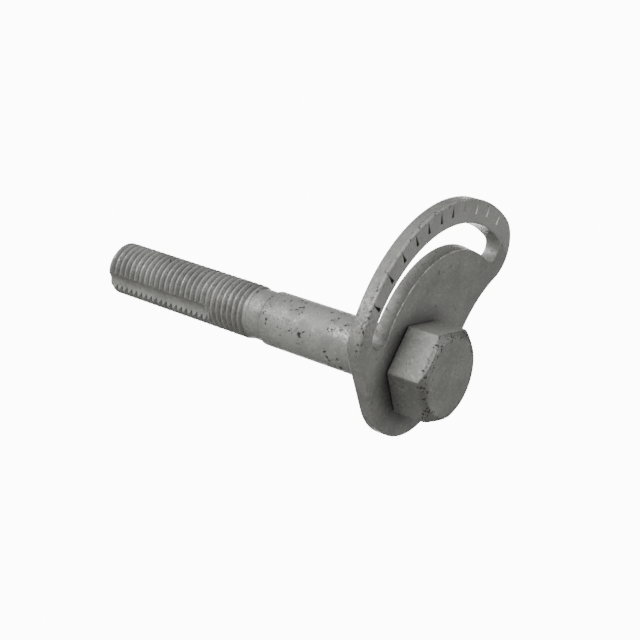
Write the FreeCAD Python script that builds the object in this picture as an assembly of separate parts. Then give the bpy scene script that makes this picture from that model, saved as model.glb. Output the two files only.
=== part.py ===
import FreeCAD, Part

import math
import os

# Alignment cam bolt: a hexagon bolt with a graduated, slotted cam plate under its head.
# Millimetres. The bolt axis is the Y axis and the threaded end points along +Y.
# The origin is on the bolt axis in the plate's rear face, which seats on the bracket.
# +Z is the side of the axis that the plate's lobe stands on, and bearings in the XZ plane
# are counted from +X towards +Z.

# Bolt, lengths measured from under the head
thread_diameter = 24.0
thread_pitch = 3.0
bolt_length = 160.0
full_shank_length = 70.4
thread_start = 78.4
shank_diameter = 24.0
journal_lift = 0.3  # the plate's journal stands this much proud of the shank
step_length = 1.6
thread_end_chamfer = 2.0
first_crest_run = 3.0

head_across_flats = 35.8
head_height = 17.6
head_turn_deg = 36.5
head_chamfer_deg = 35.0
head_chamfer_inset = 0.9
washer_face_height = 0.7
washer_face_inset = 1.1
head_edge_radius = 0.35

# Keyway along the threaded end
key_groove_length = 61.8
key_groove_depth = 2.8
key_groove_radius = 5.0
key_groove_bearing_deg = 240.0

# Cam plate
plate_thickness = 6.0
bore_clearance = 0.08
head_clearance = 0.05
bore_chamfer = 0.8
rim_edge_radius = 0.7

# Slot: one arc with round ends, a little narrower at the rear face
slot_centre = FreeCAD.Vector(17.0, 0, 12.5)
slot_radius = 51.5
slot_width = 11.0
slot_draft = 0.9  # each wall leans in by this much over the plate's thickness
slot_low_deg = 199.2
slot_high_deg = 95.3
slot_edge_radius = 0.3

# Plate outline: a hub round the bolt, a straight flank, a round rim, a round tip about the
# slot's high end and a hollow side that runs from the tip back into the hub. The rim's centre
# is shifted from the slot's, so the land between slot and rim widens towards the tip.
hub_radius = 30.2
flank_normal_deg = 248.6
flank_corner_radius = 12.0
rim_land = 7.2
rim_shift = FreeCAD.Vector(-1.5, 0, 2.4)
hollow_radius = 50.2

# Graduation marks struck along the rim, by their bearings from the slot's centre
mark_bearings_deg = (189.8, 178.1, 168.6, 159.8, 151.9, 143.7, 136.1, 128.3, 119.1, 110.4, 100.8)
mark_length = 6.2
mark_width = 2.0
mark_depth = 1.0

# Derived sizes
thread_radius = thread_diameter / 2
root_radius = thread_radius - 0.61343 * thread_pitch
neck_radius = thread_radius - 0.32476 * thread_pitch
shank_radius = shank_diameter / 2
journal_radius = shank_radius + journal_lift
bore_radius = journal_radius + bore_clearance
washer_face_y = -plate_thickness - head_clearance
head_top_y = washer_face_y - head_height
bolt_end_y = washer_face_y + bolt_length
slot_half = slot_width / 2
rim_centre = slot_centre + rim_shift
rim_radius = slot_radius + slot_half + rim_land

AXIS = FreeCAD.Vector(0, 0, 0)
Y_AXIS = FreeCAD.Vector(0, 1, 0)


def direction(bearing_deg):
    """Unit vector in the XZ plane, from +X towards +Z."""
    angle = math.radians(bearing_deg)
    return FreeCAD.Vector(math.cos(angle), 0, math.sin(angle))


def bearing(vector):
    return math.degrees(math.atan2(vector.z, vector.x))


def arc(centre, radius, start_deg, end_deg):
    """Arc in the XZ plane from start_deg up or down to end_deg, as the numbers run."""
    points = [centre + direction(start_deg + (end_deg - start_deg) * part) * radius
              for part in (0, 0.5, 1)]
    return Part.Arc(*points).toShape()


def short_arc(centre, radius, start, end):
    """Arc in the XZ plane that takes the short way between two points of the circle."""
    start_deg = bearing(start - centre)
    sweep = (bearing(end - centre) - start_deg + 180) % 360 - 180
    return arc(centre, radius, start_deg, start_deg + sweep)


def towards(start, end, distance):
    """Point a distance away from start on the line to end."""
    return start + (end - start).normalize() * distance


def circles_meet(centre_a, radius_a, centre_b, radius_b):
    """Crossing of two circles that lies on the right of the way from a to b."""
    way = centre_b - centre_a
    gap = way.Length
    along = (radius_a ** 2 - radius_b ** 2 + gap ** 2) / (2 * gap)
    across = math.sqrt(radius_a ** 2 - along ** 2)
    unit = way * (1 / gap)
    right = FreeCAD.Vector(unit.z, 0, -unit.x)
    return centre_a + unit * along + right * across


def ray_hits_circle(start, way, centre, radius):
    """Point where a ray that starts inside a circle leaves it."""
    offset = start - centre
    along = offset.dot(way)
    return start + way * (math.sqrt(along ** 2 - offset.dot(offset) + radius ** 2) - along)


def revolve_profile(points):
    """Solid of revolution about Y from (radius, y) points."""
    corners = [FreeCAD.Vector(radius, y, 0) for radius, y in points]
    face = Part.Face(Part.makePolygon(corners + corners[:1]))
    return face.revolve(AXIS, Y_AXIS, 360)


def edges_at(shape, y):
    """Edges that lie wholly in the plane at y."""
    return [edge for edge in shape.Edges
            if abs(edge.BoundBox.YMin - y) < 1e-4 and abs(edge.BoundBox.YMax - y) < 1e-4]


def make_head():
    """Hexagon with a chamfered top and a round washer face below."""
    hex_base_y = washer_face_y - washer_face_height
    corner_radius = head_across_flats / 2 / math.cos(math.radians(30))
    corners = []
    for corner in range(7):
        spoke = direction(head_turn_deg + 60 * corner) * corner_radius
        corners.append(FreeCAD.Vector(spoke.x, hex_base_y, spoke.z))
    hexagon = Part.Face(Part.makePolygon(corners))
    prism = hexagon.extrude(FreeCAD.Vector(0, head_top_y - hex_base_y, 0))

    top_radius = head_across_flats / 2 - head_chamfer_inset
    reach = corner_radius + 5
    drop = (reach - top_radius) * math.tan(math.radians(head_chamfer_deg))
    envelope = revolve_profile([
        (0, head_top_y),
        (top_radius, head_top_y),
        (reach, head_top_y + drop),
        (reach, hex_base_y),
        (0, hex_base_y),
    ])
    head = prism.common(envelope)
    upright = [edge for edge in head.Edges if edge.BoundBox.YLength > head_height / 2]
    head = head.makeFillet(head_edge_radius, upright)

    washer_radius = head_across_flats / 2 - washer_face_inset
    washer = Part.makeCylinder(washer_radius, washer_face_height + 1,
                               FreeCAD.Vector(0, hex_base_y - 1, 0), Y_AXIS)
    return head.fuse(washer)


def make_stem():
    """Plate journal, plain shank, rolled neck and thread core, from inside the head to the free end."""
    step_y = washer_face_y + full_shank_length
    start_y = washer_face_y + thread_start
    core_drop = neck_radius - root_radius
    return revolve_profile([
        (0, washer_face_y - 1),
        (journal_radius, washer_face_y - 1),
        (journal_radius, 0),
        (shank_radius, 0),
        (shank_radius, step_y),
        (neck_radius, step_y + step_length),
        (neck_radius, start_y),
        (root_radius, start_y + core_drop * 2),
        (root_radius, bolt_end_y),
        (0, bolt_end_y),
    ])


def make_thread_ridge():
    """Right-hand helical ridge that overshoots the threaded length at both ends."""
    start_y = washer_face_y + thread_start
    turns = math.ceil((bolt_end_y - start_y) / thread_pitch) + 2
    sink = 0.15
    inner_radius = root_radius - sink
    crest_half = thread_pitch / 16
    foot_half = crest_half + (thread_radius - inner_radius) * math.tan(math.radians(30))

    helix = Part.Wire(Part.makeLongHelix(thread_pitch, turns * thread_pitch, root_radius, 0).Edges)
    section = [
        FreeCAD.Vector(inner_radius, 0, -foot_half),
        FreeCAD.Vector(thread_radius, 0, -crest_half),
        FreeCAD.Vector(thread_radius, 0, crest_half),
        FreeCAD.Vector(inner_radius, 0, foot_half),
    ]
    sweep = Part.BRepOffsetAPI.MakePipeShell(helix)
    sweep.setFrenetMode(True)
    sweep.add(Part.makePolygon(section + section[:1]))
    sweep.build()
    sweep.makeSolid()
    ridge = sweep.shape()
    ridge.rotate(AXIS, FreeCAD.Vector(1, 0, 0), -90)
    ridge.translate(FreeCAD.Vector(0, start_y - thread_pitch, 0))
    return ridge


def make_stem_envelope():
    """Space that the threaded stem keeps to: a run-up at the neck, a chamfer at the end."""
    start_y = washer_face_y + thread_start
    reach = thread_radius + 5
    margin = 0.05
    return revolve_profile([
        (0, head_top_y),
        (reach, head_top_y),
        (reach, start_y - margin),
        (neck_radius, start_y - margin),
        (thread_radius, start_y + first_crest_run),
        (reach, start_y + first_crest_run),
        (reach, bolt_end_y - thread_end_chamfer - 5),
        (thread_radius - thread_end_chamfer, bolt_end_y),
        (0, bolt_end_y),
    ])


def make_key_groove():
    """Round-bottomed cutter for the keyway, with a ball-shaped inner end."""
    centre_distance = thread_radius - key_groove_depth + key_groove_radius
    place = direction(key_groove_bearing_deg) * centre_distance
    inner_y = bolt_end_y - key_groove_length + key_groove_radius
    inner_end = FreeCAD.Vector(place.x, inner_y, place.z)
    bar = Part.makeCylinder(key_groove_radius, key_groove_length, inner_end, Y_AXIS)
    ball = Part.makeSphere(key_groove_radius, inner_end)
    return bar.fuse(ball)


def make_bolt():
    stem = make_stem().fuse(make_thread_ridge()).common(make_stem_envelope())
    return stem.fuse(make_head()).cut(make_key_groove())


def slot_ends():
    """Centres of the slot's low and high round ends."""
    return [slot_centre + direction(end_deg) * slot_radius for end_deg in (slot_low_deg, slot_high_deg)]


def slot_wire(half_width, y):
    """Closed outline of the curved slot in the plane at y."""
    low_end, high_end = slot_ends()
    edges = [
        arc(slot_centre, slot_radius + half_width, slot_low_deg, slot_high_deg),
        arc(high_end, half_width, slot_high_deg, slot_high_deg - 180),
        arc(slot_centre, slot_radius - half_width, slot_high_deg, slot_low_deg),
        arc(low_end, half_width, slot_low_deg + 180, slot_low_deg),
    ]
    wire = Part.Wire(edges)
    wire.translate(FreeCAD.Vector(0, y, 0))
    return wire


def make_slot():
    """Cutter for the slot, from the front face to the rear face."""
    front = slot_wire(slot_half, -plate_thickness)
    rear = slot_wire(slot_half - slot_draft, 0)
    return Part.makeLoft([front, rear], True, True)


def outline_wire():
    """Closed outline of the plate, and the one corner that it leaves sharp."""
    tip_centre = slot_ends()[1]
    tip_radius = rim_radius - (tip_centre - rim_centre).Length
    hollow_centre = circles_meet(AXIS, hub_radius + hollow_radius, tip_centre, tip_radius + hollow_radius)
    rim_meets_tip = towards(rim_centre, tip_centre, rim_radius)
    tip_meets_hollow = towards(tip_centre, hollow_centre, tip_radius)
    hollow_meets_hub = towards(AXIS, hollow_centre, hub_radius)

    flank_foot = direction(flank_normal_deg) * hub_radius
    flank_way = direction(flank_normal_deg - 90)
    flank_meets_rim = ray_hits_circle(flank_foot, flank_way, rim_centre, rim_radius)
    tip_start_deg = bearing(rim_meets_tip - tip_centre)
    tip_end_deg = bearing(tip_meets_hollow - tip_centre)

    edges = [
        Part.LineSegment(flank_foot, flank_meets_rim).toShape(),
        short_arc(rim_centre, rim_radius, flank_meets_rim, rim_meets_tip),
        arc(tip_centre, tip_radius, tip_start_deg, tip_end_deg),
        short_arc(hollow_centre, hollow_radius, tip_meets_hollow, hollow_meets_hub),
        arc(AXIS, hub_radius, bearing(hollow_meets_hub), flank_normal_deg - 360),
    ]
    return Part.Wire(edges), flank_meets_rim


def make_mark(bearing_deg):
    """Cutter for one struck mark: a point at the rim, full width and depth at its inner end."""
    outward = direction(bearing_deg)
    rim_point = ray_hits_circle(slot_centre, outward, rim_centre, rim_radius)
    sideways = FreeCAD.Vector(-outward.z, 0, outward.x)
    lift = mark_depth
    growth = (mark_depth + lift) / mark_depth
    inner = rim_point - outward * mark_length
    above = FreeCAD.Vector(0, -plate_thickness - lift, 0)
    below = FreeCAD.Vector(0, -plate_thickness + mark_depth, 0)
    half_width = sideways * (mark_width / 2 * growth)
    point = inner + outward * (mark_length * growth) + above
    left = inner + half_width + above
    right = inner - half_width + above
    bottom = inner + below
    sides = [(point, left, right), (point, left, bottom), (left, right, bottom), (right, point, bottom)]
    faces = [Part.Face(Part.makePolygon([a, b, c, a])) for a, b, c in sides]
    return Part.Solid(Part.Shell(faces))


def touches_slot(edge):
    """True for an edge of the front face that lies on the slot's outline."""
    middle = edge.valueAt((edge.FirstParameter + edge.LastParameter) / 2)
    return slot_wire(slot_half, middle.y).distToShape(Part.Vertex(middle))[0] < 0.01


def make_cam_plate():
    wire, corner = outline_wire()
    front = FreeCAD.Vector(0, -plate_thickness, 0)
    blank = Part.Face(wire).extrude(front)
    upright = [edge for edge in blank.Edges
               if edge.BoundBox.YLength > plate_thickness / 2
               and abs(edge.BoundBox.XMin - corner.x) < 0.01
               and abs(edge.BoundBox.ZMin - corner.z) < 0.01]
    blank = blank.makeFillet(flank_corner_radius, upright)
    blank = blank.makeFillet(rim_edge_radius, edges_at(blank, 0) + edges_at(blank, -plate_thickness))

    plate = blank.cut(make_slot())
    slot_edges = [edge for edge in edges_at(plate, -plate_thickness) if touches_slot(edge)]
    plate = plate.makeFillet(slot_edge_radius, slot_edges)

    bore = Part.makeCylinder(bore_radius, plate_thickness, front, Y_AXIS)
    lead_in = Part.makeCone(bore_radius + bore_chamfer, bore_radius, bore_chamfer, front, Y_AXIS)
    plate = plate.cut(bore).cut(lead_in)
    for mark_bearing_deg in mark_bearings_deg:
        plate = plate.cut(make_mark(mark_bearing_deg))
    return plate


def main():
    os.makedirs("parts", exist_ok=True)
    parts = {
        "bolt": make_bolt(),
        "cam_plate": make_cam_plate(),
    }
    for name, shape in parts.items():
        solid = shape.Solids[0]
        solid.exportStep("parts/" + name + ".step")
        print(name, len(shape.Solids), shape.isValid(), round(solid.Volume), solid.BoundBox)


main()
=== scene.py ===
import math

import bpy
import numpy as np
from mathutils import Matrix, Vector


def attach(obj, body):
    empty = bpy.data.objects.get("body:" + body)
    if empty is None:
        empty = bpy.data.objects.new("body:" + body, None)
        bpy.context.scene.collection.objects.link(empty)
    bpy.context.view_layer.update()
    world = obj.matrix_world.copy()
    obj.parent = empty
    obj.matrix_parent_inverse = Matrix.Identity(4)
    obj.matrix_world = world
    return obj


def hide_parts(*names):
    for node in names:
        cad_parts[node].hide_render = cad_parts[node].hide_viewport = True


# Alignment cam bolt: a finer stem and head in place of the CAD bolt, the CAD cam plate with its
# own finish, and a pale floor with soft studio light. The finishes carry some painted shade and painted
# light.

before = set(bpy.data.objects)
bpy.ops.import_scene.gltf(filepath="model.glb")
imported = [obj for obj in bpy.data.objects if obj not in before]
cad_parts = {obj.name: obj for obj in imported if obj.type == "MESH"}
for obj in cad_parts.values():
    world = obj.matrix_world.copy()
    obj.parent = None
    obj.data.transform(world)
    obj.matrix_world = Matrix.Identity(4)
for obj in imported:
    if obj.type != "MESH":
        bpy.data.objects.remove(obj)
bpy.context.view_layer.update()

# Bolt sizes in millimetres, as in the CAD source
THREAD_R = 12.0
PITCH = 3.0
SHANK_R = 12.0
ROOT_R = THREAD_R - 0.61343 * PITCH
NECK_R = THREAD_R - 0.32476 * PITCH
UNDER_HEAD_Y = -6.05
BOLT_LENGTH = 160.0
STEP_Y = UNDER_HEAD_Y + 70.4
STEP_LENGTH = 1.6
THREAD_Y = UNDER_HEAD_Y + 78.4
END_Y = UNDER_HEAD_Y + BOLT_LENGTH
END_CHAMFER = 2.0
FIRST_CREST_RUN = 3.0
FIRST_ROOT_RUN = 1.7
GROOVE_LENGTH = 61.8
GROOVE_R = 5.0
GROOVE_DEPTH = 2.8
GROOVE_BEARING = math.radians(240.0)
GROOVE_DISTANCE = THREAD_R - GROOVE_DEPTH + GROOVE_R
HEAD_AF = 35.8
HEAD_HEIGHT = 17.6
HEAD_TURN = math.radians(36.5)
HEAD_TOP_Y = UNDER_HEAD_Y - HEAD_HEIGHT
CHAMFER_R = HEAD_AF / 2 - 0.9
CHAMFER_SLOPE = math.tan(math.radians(35.0))
WASHER_FACE_H = 0.7
WASHER_R = HEAD_AF / 2 - 1.1

# Cam plate sizes in millimetres, and lines along Y given by their X and Z
PLATE_FRONT_Y = -6.0
SLOT_R = 51.5
SLOT_HALF = 5.5
SLOT_HIGH_BEARING = math.radians(95.3)
RIM_R = 64.2
BOLT_AXIS = (0.0, 0.0)
SLOT_AXIS = (17.0, 12.5)
RIM_AXIS = (15.5, 14.9)
SLOT_END_AXIS = (SLOT_AXIS[0] + SLOT_R * math.cos(SLOT_HIGH_BEARING),
                 SLOT_AXIS[1] + SLOT_R * math.sin(SLOT_HIGH_BEARING))
GROOVE_AXIS = (GROOVE_DISTANCE * math.cos(GROOVE_BEARING), GROOVE_DISTANCE * math.sin(GROOVE_BEARING))

# Coat colours
STEM_GREY = (0.215, 0.216, 0.206)
HEAD_GREY = (0.175, 0.176, 0.166)
PLATE_GREY = (0.164, 0.165, 0.156)
PALE_GRAIN = (0.55, 0.55, 0.53, 1.0)
BARE_STEEL = (0.52, 0.52, 0.50, 1.0)
# Pale colour for the paler coat, with painted light on the slot end and a painted highlight on the slot's
# inner edge.
PALE_COAT_AND_PAINTED_LIGHT = (0.62, 0.62, 0.60, 1.0)
CHIP_BLACK = (0.012, 0.011, 0.010, 1.0)
# Dark colour for the darker thread bottom and lower marks, and for painted shade on the head and round it.
SHADE_AND_DARKENING_BLACK = (0.014, 0.013, 0.012, 1.0)
STAIN_BLACK = (0.03, 0.03, 0.028, 1.0)

# Camera and stage, in metres
CAMERA_PLACE = (-0.497178, -0.298637, -0.167785)
CAMERA_RIGHT = Vector((0.38494, -0.79482, 0.46912))
CAMERA_UP = Vector((-0.47540, 0.26492, 0.83893))
CAMERA_BACK = Vector((-0.79108, -0.54596, -0.27588))
LIGHT_AIM = Vector((0.0, 0.04, 0.01))
FLOOR_Z = -0.62
FLOOR_REACH = 12.0


def smooth_noise(u, v, cells_u, cells_v, seed):
    """Value noise on a grid that wraps in u, from -1 to 1."""
    rng = np.random.default_rng(seed)
    lattice = rng.uniform(-1, 1, (cells_u, cells_v + 2))
    x = np.mod(u, 1.0) * cells_u
    y = np.clip(v, 0.0, 1.0) * cells_v
    i = np.floor(x).astype(int)
    j = np.floor(y).astype(int)
    fx = x - i
    fy = y - j
    fx = fx * fx * (3 - 2 * fx)
    fy = fy * fy * (3 - 2 * fy)
    i0 = i % cells_u
    i1 = (i + 1) % cells_u
    low = lattice[i0, j] * (1 - fx) + lattice[i1, j] * fx
    high = lattice[i0, j + 1] * (1 - fx) + lattice[i1, j + 1] * fx
    return low * (1 - fy) + high * fy


def on_circles(radius, bearing, y):
    """Points in millimetres from their radius and bearing about the bolt axis."""
    return np.stack([radius * np.cos(bearing), y, radius * np.sin(bearing)], axis=-1)


def grid_object(name, points):
    """Closed mesh from a (rows, columns, 3) grid in millimetres whose columns wrap round."""
    rows, columns = points.shape[:2]
    places = points / 1000
    vertices = places.reshape(-1, 3).tolist()
    vertices.append(places[0].mean(axis=0).tolist())
    vertices.append(places[-1].mean(axis=0).tolist())
    first_middle = rows * columns
    last_middle = first_middle + 1
    last_row = first_middle - columns
    following = [(column + 1) % columns for column in range(columns)]

    sides = []
    for base in range(0, last_row, columns):
        above = base + columns
        for column, right in enumerate(following):
            sides.append((base + column, base + right, above + right, above + column))
    first_cap = [(right, column, first_middle) for column, right in enumerate(following)]
    last_cap = [(last_row + column, last_row + right, last_middle) for column, right in enumerate(following)]

    mesh = bpy.data.meshes.new(name)
    mesh.from_pydata(vertices, [], sides + first_cap + last_cap)
    mesh.polygons.foreach_set("use_smooth", [True] * len(sides) + [False] * 2 * columns)
    mesh.update()
    obj = bpy.data.objects.new(name, mesh)
    bpy.context.scene.collection.objects.link(obj)
    return obj


def thread_radius_at(y, bearing):
    """Rounded coarse thread profile, right-handed about +Y."""
    crest_half = PITCH / 16
    phase = (y - THREAD_Y + bearing / (2 * math.pi) * PITCH) / PITCH
    from_crest = np.abs(np.mod(phase + 0.5, 1.0) - 0.5) * PITCH
    flank = THREAD_R + 0.05 - (from_crest - crest_half) * math.sqrt(3)
    crest = THREAD_R - 0.10 - 0.9 * from_crest ** 2
    root = ROOT_R + 0.04 + 0.35 * (PITCH / 2 - from_crest) ** 2
    return np.maximum(np.minimum(flank, crest), root)


def cut_key_groove(radius, y, bearing):
    """Radius brought down to the floor of the key groove, which ends in a ball."""
    widest_turn = 0.8
    turn = np.mod(bearing - GROOVE_BEARING + math.pi, 2 * math.pi) - math.pi
    past_end = np.clip(END_Y - GROOVE_LENGTH + GROOVE_R - y, 0, None)
    reach_squared = np.clip(GROOVE_R ** 2 - past_end ** 2, 0, None)
    under_root = reach_squared - (GROOVE_DISTANCE * np.sin(turn)) ** 2
    inside = (under_root > 0) & (np.abs(turn) < widest_turn)
    floor = GROOVE_DISTANCE * np.cos(turn) - np.sqrt(np.clip(under_root, 0, None))
    return np.where(inside, np.minimum(radius, floor), radius)


def stem_object():
    """Shank, neck and thread with its key groove."""
    coat = 0.02
    margin = 0.6
    thread_spacing = 0.14
    bearings = np.linspace(0, 2 * math.pi, 384, endpoint=False)
    plain = np.linspace(UNDER_HEAD_Y, STEP_Y - margin, 160)
    step = np.linspace(STEP_Y - margin, STEP_Y + STEP_LENGTH + margin, 24)[1:]
    neck = np.linspace(STEP_Y + STEP_LENGTH + margin, THREAD_Y - 0.4, 14)[1:]
    thread = np.arange(THREAD_Y - 0.3, END_Y, thread_spacing)
    heights = np.concatenate([plain, step, neck, thread, [END_Y]])
    y, bearing = np.meshgrid(heights, bearings, indexing="ij")

    fall = np.clip((y - STEP_Y) / STEP_LENGTH, 0, 1)
    fall = fall * fall * (3 - 2 * fall)
    body = SHANK_R - (SHANK_R - NECK_R) * fall - coat
    crest_run = np.clip((y - THREAD_Y) / FIRST_CREST_RUN, 0, 1)
    root_run = np.clip((y - THREAD_Y) / FIRST_ROOT_RUN, 0, 1)
    crest_limit = NECK_R + (THREAD_R - NECK_R) * crest_run
    root_limit = NECK_R - (NECK_R - ROOT_R) * root_run
    cut = np.clip(thread_radius_at(y, bearing), root_limit, crest_limit)
    radius = np.where(y > THREAD_Y, cut, body)
    radius = np.minimum(radius, THREAD_R - END_CHAMFER + END_Y - y)
    radius = cut_key_groove(radius, y, bearing)

    around = bearing / (2 * math.pi)
    along = (y - UNDER_HEAD_Y) / BOLT_LENGTH
    lumps = smooth_noise(around, along, 30, 60, 3)
    grain = smooth_noise(around, along, 110, 260, 4)
    radius = radius - 0.03 * (lumps + 1) / 2 - 0.02 * (grain + 1) / 2
    return grid_object("bolt_stem", on_circles(radius, bearing, y)[:, ::-1])


def round_corner(start, corner, end, radius, steps):
    """Rings of a rounded corner between two straight runs of the profile."""
    back = start - corner
    ahead = end - corner
    back = back / np.linalg.norm(back, axis=-1, keepdims=True)
    ahead = ahead / np.linalg.norm(ahead, axis=-1, keepdims=True)
    return [corner + back * radius * (1 - part) ** 2 + ahead * radius * part ** 2
            for part in np.linspace(0, 1, steps)]


def head_object():
    """Chamfered hexagon head with softened edges and a washer face."""
    bearings = np.linspace(0, 2 * math.pi, 720, endpoint=False)
    base_y = UNDER_HEAD_Y - WASHER_FACE_H
    top_y = HEAD_TOP_Y + 0.02
    corner_radius = HEAD_AF / math.sqrt(3)
    from_flat = np.mod(bearings - HEAD_TURN, math.pi / 3) - math.pi / 6
    from_corner = math.pi / 6 - np.abs(from_flat)
    hexagon = HEAD_AF / 2 / np.cos(from_flat) - 0.08 * np.exp(-(from_corner / 0.035) ** 2)
    edge_y = HEAD_TOP_Y + np.maximum(hexagon - CHAMFER_R, 0) * CHAMFER_SLOPE

    def ring(radius, y):
        radius = np.broadcast_to(radius, bearings.shape)
        y = np.broadcast_to(y, bearings.shape)
        return np.stack([radius, y], axis=-1)

    edge = ring(hexagon, edge_y)
    foot = ring(hexagon, base_y)
    top_inset = CHAMFER_R - 1.6
    chamfer_middle = (CHAMFER_R + hexagon) / 2
    rings = [ring(radius, top_y) for radius in np.linspace(0.6, top_inset, 14)]
    rings += round_corner(ring(top_inset, top_y), ring(CHAMFER_R, top_y), edge, 0.75, 8)
    rings.append(ring(chamfer_middle, HEAD_TOP_Y + (chamfer_middle - CHAMFER_R) * CHAMFER_SLOPE))
    rings += round_corner(ring(CHAMFER_R, HEAD_TOP_Y), edge, foot, 0.30, 6)
    rings += [edge + (foot - edge) * part for part in np.linspace(0.06, 0.94, 26)]
    rings += round_corner(edge, foot, ring(WASHER_R, base_y), 0.35, 6)
    rings.append(ring(WASHER_R + 0.3, base_y))
    rings.append(ring(WASHER_R, base_y + 0.05))
    rings.append(ring(WASHER_R, UNDER_HEAD_Y - 0.1))
    rings.append(ring(WASHER_R - 0.1, UNDER_HEAD_Y))
    rings.append(ring(SHANK_R + 0.3, UNDER_HEAD_Y))
    profile = np.stack(rings)
    radius = profile[..., 0]
    y = profile[..., 1]
    bearing = np.broadcast_to(bearings, radius.shape)

    noise_height = 18.0
    edge_width = 1.1
    wear_start = 14.0
    wear_blend = 3.0
    around = bearing / (2 * math.pi)
    along = (y - HEAD_TOP_Y) / noise_height
    waves = smooth_noise(around, along, 60, 12, 11)
    chips = smooth_noise(around, along, 150, 30, 12)
    near_edge = np.exp(-((y - edge_y) / edge_width) ** 2) * np.clip((radius - wear_start) / wear_blend, 0, 1)
    radius = radius - near_edge * (0.10 * np.clip(waves, 0, 1) + 0.22 * np.clip(chips - 0.35, 0, 1))
    return grid_object("bolt_head", on_circles(np.minimum(radius, corner_radius), bearing, y))


def shade(grey, factor):
    """Coat colour made lighter or darker, with its alpha."""
    return tuple(value * factor for value in grey) + (1.0,)


class Graph:
    """Builds a shader node tree from short expressions, with places in millimetres."""

    def __init__(self, name):
        self.material = bpy.data.materials.new(name)
        self.material.use_nodes = True
        self.nodes = self.material.node_tree.nodes
        self.links = self.material.node_tree.links
        self.shader = self.nodes["Principled BSDF"]
        coordinates = self.nodes.new("ShaderNodeTexCoord")
        to_mm = self.nodes.new("ShaderNodeVectorMath")
        to_mm.operation = "SCALE"
        to_mm.inputs["Scale"].default_value = 1000.0
        self.links.new(coordinates.outputs["Object"], to_mm.inputs[0])
        self.place = to_mm.outputs[0]
        split = self.nodes.new("ShaderNodeSeparateXYZ")
        self.links.new(self.place, split.inputs[0])
        self.x, self.y, self.z = split.outputs

    def feed(self, value, socket):
        if isinstance(value, (int, float, tuple)):
            socket.default_value = value
        else:
            self.links.new(value, socket)

    def math(self, operation, *values):
        node = self.nodes.new("ShaderNodeMath")
        node.operation = operation
        for value, socket in zip(values, node.inputs):
            self.feed(value, socket)
        return node.outputs[0]

    def times(self, *values):
        product = values[0]
        for value in values[1:]:
            product = self.math("MULTIPLY", product, value)
        return product

    def most(self, *values):
        found = values[0]
        for value in values[1:]:
            found = self.math("MAXIMUM", found, value)
        return found

    def ramp(self, value, low, high, start=0.0, end=1.0):
        """Smooth step from start at low to end at high."""
        node = self.nodes.new("ShaderNodeMapRange")
        node.interpolation_type = "SMOOTHSTEP"
        self.feed(value, node.inputs["Value"])
        for name, number in zip(("From Min", "From Max", "To Min", "To Max"), (low, high, start, end)):
            node.inputs[name].default_value = number
        return node.outputs["Result"]

    def noise(self, cell, detail=3.0, roughness=0.55, vector=None):
        """Noise with cells of that many millimetres."""
        node = self.nodes.new("ShaderNodeTexNoise")
        self.links.new(self.place if vector is None else vector, node.inputs["Vector"])
        node.inputs["Scale"].default_value = 1.0 / cell
        node.inputs["Detail"].default_value = detail
        node.inputs["Roughness"].default_value = roughness
        return node.outputs["Fac"]

    def drawn_out(self, stretch):
        """Place with its Y shrunk, so that patterns draw out along the bolt."""
        node = self.nodes.new("ShaderNodeMapping")
        node.inputs["Scale"].default_value = (1.0, 1.0 / stretch, 1.0)
        self.links.new(self.place, node.inputs["Vector"])
        return node.outputs["Vector"]

    def ragged(self, cell, reach):
        """Place shifted about by noise, for ragged outlines."""
        node = self.nodes.new("ShaderNodeTexNoise")
        self.links.new(self.place, node.inputs["Vector"])
        node.inputs["Scale"].default_value = 1.0 / cell
        node.inputs["Detail"].default_value = 3.0
        shift = self.nodes.new("ShaderNodeVectorMath")
        shift.operation = "MULTIPLY_ADD"
        self.links.new(node.outputs["Color"], shift.inputs[0])
        shift.inputs[1].default_value = (reach, reach, reach)
        self.links.new(self.place, shift.inputs[2])
        return shift.outputs[0]

    def cells(self, cell, vector):
        """Distance to the nearest of scattered points, cell millimetres apart."""
        node = self.nodes.new("ShaderNodeTexVoronoi")
        self.links.new(vector, node.inputs["Vector"])
        node.inputs["Scale"].default_value = 1.0 / cell
        return node.outputs["Distance"]

    def tint(self, amount, base, over):
        """Colour base covered by colour over in that amount."""
        node = self.nodes.new("ShaderNodeMix")
        node.data_type = "RGBA"
        self.feed(amount, node.inputs[0])
        self.feed(base, node.inputs[6])
        self.feed(over, node.inputs[7])
        return node.outputs[2]

    def near(self, point, inner, outer):
        """1 within inner millimetres of a point, 0 past outer."""
        node = self.nodes.new("ShaderNodeVectorMath")
        node.operation = "DISTANCE"
        self.links.new(self.place, node.inputs[0])
        node.inputs[1].default_value = point
        return self.ramp(node.outputs["Value"], inner, outer, 1.0, 0.0)

    def from_axis(self, axis):
        """Distance in millimetres from a line along Y."""
        across = self.math("POWER", self.math("SUBTRACT", self.x, axis[0]), 2.0)
        along = self.math("POWER", self.math("SUBTRACT", self.z, axis[1]), 2.0)
        return self.math("SQRT", self.math("ADD", across, along))


def coat_colour(g, grey, mottle, grain):
    """Uneven coat with pale and dark grains."""
    colour = g.tint(g.ramp(g.noise(14.0, 2.0), 0.3, 0.7), shade(grey, 0.86), shade(grey, 1.16))
    colour = g.tint(g.ramp(mottle, 0.50, 0.66, 0.0, 0.30), colour, shade(grey, 1.7))
    pale_grains = g.times(g.ramp(grain, 0.58, 0.70), g.ramp(mottle, 0.42, 0.58), 0.35)
    colour = g.tint(pale_grains, colour, PALE_GRAIN)
    dark_grains = g.ramp(grain, 0.46, 0.32, 0.0, 0.45)
    return g.tint(dark_grains, colour, shade(grey, 0.45))


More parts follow.
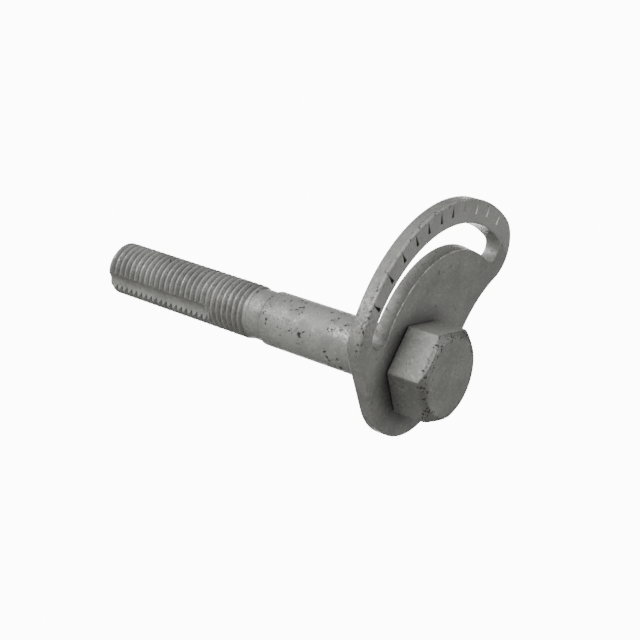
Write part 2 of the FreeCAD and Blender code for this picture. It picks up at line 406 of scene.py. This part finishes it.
def coat_pits(g, amount, extra_pits):
    """1 where the coat has chipped away, in scattered ragged spots."""
    wobble = g.times(g.math("SUBTRACT", g.noise(0.6, 3.0, 0.65), 0.5), 0.8)
    ragged = g.ragged(1.6, 3.2)

    def spots(cell, low, high):
        return g.ramp(g.math("ADD", g.cells(cell, ragged), wobble), low, high)

    small = g.times(spots(1.7, 0.16, 0.11), g.ramp(g.noise(7.0, 2.0), 0.50, 0.60))
    large = g.times(spots(4.5, 0.15, 0.12), g.ramp(g.noise(12.0, 2.0), 0.52, 0.58))
    pits = g.times(g.most(small, large), amount)
    return g.most(pits, g.times(spots(1.9, 0.34, 0.28), extra_pits(g)))


def coated_steel(name, grey, worn_amount, pit_amount, extra_pits, extra_shine=None, shade_and_darkening=None, pale=None):
    """Dull zinc-flake coating: even grey with fine grain, dark chips and thin bare patches."""
    g = Graph(name)
    mottle = g.noise(1.6, 4.0, 0.65)
    grain = g.noise(0.38, 3.0, 0.75)
    pits = coat_pits(g, pit_amount, extra_pits)
    colour = g.tint(g.times(pits, 0.95), coat_colour(g, grey, mottle, grain), CHIP_BLACK)

    wear = g.noise(3.0, 5.0, 0.7, g.drawn_out(2.5))
    rub = g.times(g.ramp(wear, 0.60, 0.66), worn_amount)
    if extra_shine:
        rub = g.most(rub, g.times(g.ramp(g.noise(0.8, 4.0, 0.7), 0.44, 0.58), extra_shine(g)))
    rub = g.times(rub, g.math("SUBTRACT", 1.0, pits))
    off_border = g.math("ABSOLUTE", g.math("SUBTRACT", wear, 0.585))
    broken = g.ramp(g.noise(8.0, 2.0), 0.50, 0.58)
    stain = g.times(g.ramp(off_border, 0.008, 0.003), broken, worn_amount, 1.4)
    colour = g.tint(stain, colour, STAIN_BLACK)
    colour = g.tint(g.times(rub, 0.6), colour, BARE_STEEL)
    # Pale colour, partly painted light on the slot end and along the slot's inner edge.
    if pale:
        colour = g.tint(pale(g), colour, PALE_COAT_AND_PAINTED_LIGHT)
    # Darkening: painted shade on the head and round it on the plate, plus the darker thread bottom and lower
    # marks.
    if shade_and_darkening:
        colour = g.tint(shade_and_darkening(g), colour, SHADE_AND_DARKENING_BLACK)
    g.feed(colour, g.shader.inputs["Base Color"])

    metal = g.math("ADD", 0.30, g.times(rub, 0.35))
    g.feed(g.times(metal, g.math("SUBTRACT", 1.0, pits)), g.shader.inputs["Metallic"])
    rough = g.math("ADD", g.ramp(mottle, 0.35, 0.65, 0.52, 0.42), g.times(rub, -0.08))
    g.feed(g.math("ADD", rough, g.times(pits, 0.35)), g.shader.inputs["Roughness"])

    height = g.math("ADD", g.times(grain, 0.07), g.times(mottle, 0.10))
    bump = g.nodes.new("ShaderNodeBump")
    bump.inputs["Strength"].default_value = 0.8
    bump.inputs["Distance"].default_value = 0.001
    g.feed(g.math("SUBTRACT", height, g.times(pits, 0.20)), bump.inputs["Height"])
    g.links.new(bump.outputs["Normal"], g.shader.inputs["Normal"])
    return g.material


def thread_root_darkening(g):
    """Darker colour in the bottom of the thread, but not in the key groove."""
    low = g.ramp(g.from_axis(BOLT_AXIS), 10.95, 10.35)
    off_groove = g.ramp(g.from_axis(GROOVE_AXIS), GROOVE_R + 0.1, GROOVE_R + 0.7)
    return g.times(low, off_groove, g.ramp(g.y, THREAD_Y + 2.15, THREAD_Y + 4.65), 0.45)


def shank_shine(g):
    """Rubbed band along the side of the shank."""
    facing = g.ramp(g.x, -7.0, -11.0)
    level = g.times(g.ramp(g.z, -8.0, -4.0), g.ramp(g.z, 4.0, 0.0))
    return g.times(facing, level, g.ramp(g.noise(7.0, 3.0), 0.45, 0.60))


def shank_pits(g):
    """Clusters of pits between the plate and the neck."""
    along = g.times(g.ramp(g.y, 8.0, 20.0), g.ramp(g.y, 72.0, 62.0))
    return g.times(along, g.ramp(g.noise(8.0, 3.0), 0.54, 0.62))


def head_painted_shade(g):
    """Painted shade on the head's chamfer and on one flat, and at its foot by the plate."""
    # Painted shade on the chamfer, on the foot next to the plate and on the flat that faces away from the
    # lights.
    chamfer = g.times(g.ramp(g.from_axis(BOLT_AXIS), 15.6, 17.2), g.ramp(g.y, -20.4, -21.6), 0.45)
    foot = g.times(g.ramp(g.y, -11.0, -6.6), 0.35)
    flat_bearing = HEAD_TURN + math.radians(210.0)
    along_x = g.times(g.x, math.cos(flat_bearing))
    along_z = g.times(g.z, math.sin(flat_bearing))
    flat = g.times(g.ramp(g.math("ADD", along_x, along_z), HEAD_AF / 2 - 0.9, HEAD_AF / 2), 0.30)
    return g.most(chamfer, foot, flat)


def head_pits(g):
    """Chipped coating round the chamfer's inner circle and along the head's edges."""
    ring = g.times(g.ramp(g.from_axis(BOLT_AXIS), 14.4, 16.2), g.ramp(g.y, -19.6, -21.2))
    return g.times(ring, g.ramp(g.noise(5.0, 2.0), 0.34, 0.46))


def struck_marks(g):
    """1 on the sunken faces of the graduation marks."""
    sunk = g.times(g.ramp(g.y, PLATE_FRONT_Y + 0.08, PLATE_FRONT_Y + 0.25),
                   g.ramp(g.y, PLATE_FRONT_Y + 2.0, PLATE_FRONT_Y + 1.4))
    slot_edge_r = SLOT_R + SLOT_HALF
    land = g.times(g.ramp(g.from_axis(SLOT_AXIS), slot_edge_r + 0.35, slot_edge_r + 0.7),
                   g.ramp(g.from_axis(RIM_AXIS), RIM_R - 0.7, RIM_R - 1.0))
    return g.times(sunk, land, g.ramp(g.z, -4.0, -2.0))


def plate_pale_and_painted_light(g):
    """Paler land outside the slot, painted light on the slot's end wall, a pale burred inner slot edge with
    a painted highlight along it, clean marks.
    """
    from_slot_axis = g.from_axis(SLOT_AXIS)
    land = g.times(g.ramp(from_slot_axis, 56.0, 58.5), g.ramp(g.z, -12.0, 6.0),
                   g.ramp(g.y, -4.6, -5.8, 0.0, 0.13))
    # Painted light on the slot's end wall.
    slot_end_painted_light = g.times(g.ramp(g.from_axis(SLOT_END_AXIS), SLOT_HALF + 1.5, SLOT_HALF + 0.3),
                       g.ramp(g.y, PLATE_FRONT_Y + 0.05, PLATE_FRONT_Y + 0.3), 0.20)
    off_edge = g.math("ABSOLUTE", g.math("SUBTRACT", from_slot_axis, SLOT_R - SLOT_HALF))
    # Pale burred inner slot edge, partly a painted highlight along it.
    burr_and_highlight = g.times(g.ramp(off_edge, 0.40, 0.15), g.ramp(g.y, PLATE_FRONT_Y + 0.40, PLATE_FRONT_Y + 0.25),
                   g.ramp(g.noise(3.0), 0.42, 0.58), 0.55)
    burr_and_highlight = g.times(burr_and_highlight, g.ramp(g.z, -3.5, 4.0), g.ramp(g.x, 2.0, -8.0))
    clean_marks = g.times(struck_marks(g), g.ramp(g.x, -22.0, -19.0), 0.95)
    return g.most(land, slot_end_painted_light, burr_and_highlight, clean_marks)


def plate_marks_and_painted_shade(g):
    """Darker lower marks, and painted shade on the plate where it meets the head."""
    front = g.ramp(g.y, PLATE_FRONT_Y + 0.8, PLATE_FRONT_Y + 0.1)
    # Painted shade round the head on the plate's front.
    seam_painted_shade = g.times(g.ramp(g.from_axis(BOLT_AXIS), 29.0, 17.0), front, 0.62)
    dark_lower_marks = g.times(struck_marks(g), g.ramp(g.x, -20.0, -28.0, 0.0, 0.95))
    return g.most(dark_lower_marks, seam_painted_shade)


def rim_pits(g):
    """Pits along the rim's front edge."""
    front = g.ramp(g.y, PLATE_FRONT_Y + 2.4, PLATE_FRONT_Y + 0.8)
    edge = g.ramp(g.from_axis(RIM_AXIS), RIM_R - 2.2, RIM_R - 0.9)
    return g.times(front, edge, g.ramp(g.noise(7.0, 2.0), 0.36, 0.46))


def rim_shine(g):
    """Bright speckled patch on the rim above the flank's corner."""
    return g.times(g.near((-46.5, -2.5, -4.0), 5.0, 13.0), 0.6)


def add_bolt():
    """Finer stem and head, which take the CAD bolt's place."""
    stem = stem_object()
    head = head_object()
    stem.data.materials.append(coated_steel("coated_stem", STEM_GREY, 0.45, 0.9, shank_pits,
                                            extra_shine=shank_shine, shade_and_darkening=thread_root_darkening))
    # The head's darkening is painted shade.
    head.data.materials.append(coated_steel("coated_head", HEAD_GREY, 0.35, 0.55, head_pits,
                                            shade_and_darkening=head_painted_shade))
    for piece in (stem, head):
        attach(piece, "bolt")
        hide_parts("bolt")
    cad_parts["bolt"].hide_render = True


def finish_plate():
    """Coat on the CAD cam plate."""
    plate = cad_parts["cam_plate"]
    plate.data.materials.clear()
    plate.data.materials.append(coated_steel("coated_plate", PLATE_GREY, 0.20, 0.55, rim_pits,
                                             extra_shine=rim_shine, shade_and_darkening=plate_marks_and_painted_shade, pale=plate_pale_and_painted_light))


def add_camera():
    data = bpy.data.cameras.new("camera")
    data.sensor_width = 36.0
    data.lens = 84.19
    data.clip_start = 0.01
    data.clip_end = 50.0
    camera = bpy.data.objects.new("camera", data)
    rotation = Matrix((CAMERA_RIGHT, CAMERA_UP, CAMERA_BACK)).transposed().to_4x4()
    camera.matrix_world = Matrix.Translation(CAMERA_PLACE) @ rotation
    bpy.context.scene.collection.objects.link(camera)
    bpy.context.scene.camera = camera


def add_area_light(name, offset, size, power):
    """Area light at an offset along the camera's right, up and back, aimed at the part."""
    place = LIGHT_AIM + CAMERA_RIGHT * offset[0] + CAMERA_UP * offset[1] + CAMERA_BACK * offset[2]
    data = bpy.data.lights.new(name, "AREA")
    data.size = size
    data.energy = power
    light = bpy.data.objects.new(name, data)
    light.location = place
    light.rotation_euler = (place - LIGHT_AIM).to_track_quat("Z", "Y").to_euler()
    bpy.context.scene.collection.objects.link(light)


def add_floor():
    mesh = bpy.data.meshes.new("floor")
    corners = [(-FLOOR_REACH, -FLOOR_REACH), (FLOOR_REACH, -FLOOR_REACH),
               (FLOOR_REACH, FLOOR_REACH), (-FLOOR_REACH, FLOOR_REACH)]
    mesh.from_pydata([(x, y, FLOOR_Z) for x, y in corners], [], [(0, 1, 2, 3)])
    floor = bpy.data.objects.new("floor", mesh)
    bpy.context.scene.collection.objects.link(floor)
    paint = bpy.data.materials.new("floor_paint")
    paint.use_nodes = True
    shader = paint.node_tree.nodes["Principled BSDF"]
    shader.inputs["Base Color"].default_value = (0.42, 0.42, 0.41, 1.0)
    shader.inputs["Roughness"].default_value = 0.8
    floor.data.materials.append(paint)


def add_world():
    """Dim even light, with a white glow behind the part as the camera sees it."""
    world = bpy.data.worlds.new("studio")
    bpy.context.scene.world = world
    world.use_nodes = True
    nodes = world.node_tree.nodes
    links = world.node_tree.links
    coordinates = nodes.new("ShaderNodeTexCoord")
    toward = nodes.new("ShaderNodeVectorMath")
    toward.operation = "DOT_PRODUCT"
    toward.inputs[1].default_value = -CAMERA_BACK
    links.new(coordinates.outputs["Generated"], toward.inputs[0])
    glow = nodes.new("ShaderNodeMapRange")
    glow.interpolation_type = "SMOOTHSTEP"
    for name, number in (("From Min", 0.90), ("From Max", 0.955), ("To Min", 0.22), ("To Max", 12.0)):
        glow.inputs[name].default_value = number
    links.new(toward.outputs["Value"], glow.inputs["Value"])
    background = nodes["Background"]
    background.inputs["Color"].default_value = (1.0, 1.0, 0.99, 1.0)
    links.new(glow.outputs["Result"], background.inputs["Strength"])


add_bolt()
finish_plate()
add_camera()
add_floor()
add_world()
add_area_light("key_left", (-0.55, 0.72, 0.74), 0.60, 16.0)
add_area_light("fill_right", (1.05, 0.05, 0.40), 0.9, 8.0)
add_area_light("fill_front", (0.0, 0.45, 1.05), 0.5, 4.0)
add_area_light("fill_top", (0.10, 1.10, 0.20), 0.8, 3.5)
